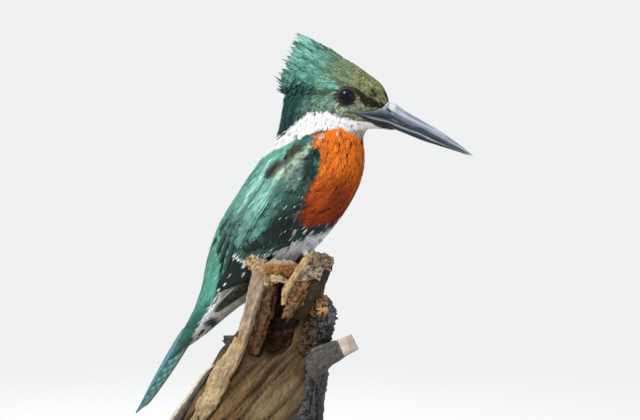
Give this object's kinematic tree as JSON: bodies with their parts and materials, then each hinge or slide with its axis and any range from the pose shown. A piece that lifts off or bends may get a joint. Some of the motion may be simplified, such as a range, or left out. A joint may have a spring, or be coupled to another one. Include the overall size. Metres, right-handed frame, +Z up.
{
  "type": "kingfisher",
  "caption": "Life-size still model of an adult male Amazon kingfisher sitting on a short broken branch on a display stand.",
  "frame": {"origin": "middle of the underside of the display stand's base", "axes": "+X is the way the bird faces, +Y is the bird's left side, +Z is up"},
  "size_m": [0.2149, 0.12, 0.291],
  "materials": {
    "head_plumage": "olive green feathers, matt",
    "crest_plumage": "turquoise green feathers, soft sheen",
    "collar_plumage": "white feathers, matt",
    "trunk_plumage": "rufous breast, turquoise back and white belly feathers",
    "rump_plumage": "turquoise feathers, soft sheen",
    "tail_feathers": "blue-green flight feathers, sheen",
    "wing_coverts": "bronze-green feathers with small pale spots",
    "wing_secondaries": "blackish green flight feathers with white spots",
    "wing_primaries": "grey-brown flight feathers",
    "bill_upper": "horn, slate blue with paler streaks, satin",
    "bill_lower": "horn, blackish, satin",
    "eye": "glass eye, dark brown, polished",
    "leg_skin": "scaled skin, blackish",
    "dead_wood": "weathered, split and broken wood with rough bark",
    "stand_wood": "dark stained hardwood, satin",
    "stand_steel": "satin steel rod"
  },
  "bodies": {
    "root": {"head": "head_plumage", "crest": "crest_plumage", "bill_upper": "bill_upper", "bill_lower": "bill_lower", "neck": "collar_plumage", "trunk": "trunk_plumage", "rump": "rump_plumage", "tail": "tail_feathers", "eye_left": "eye", "eye_right": "eye", "wing_left_coverts": "wing_coverts", "wing_right_coverts": "wing_coverts", "wing_left_secondaries": "wing_secondaries", "wing_right_secondaries": "wing_secondaries", "wing_left_primaries": "wing_primaries", "wing_right_primaries": "wing_primaries", "leg_left": "leg_skin", "leg_right": "leg_skin", "foot_left": "leg_skin", "foot_right": "leg_skin", "perch": "dead_wood", "stand_base": "stand_wood", "stand_rod_rear": "stand_steel", "stand_rod_front": "stand_steel"}
  },
  "joints": []
}
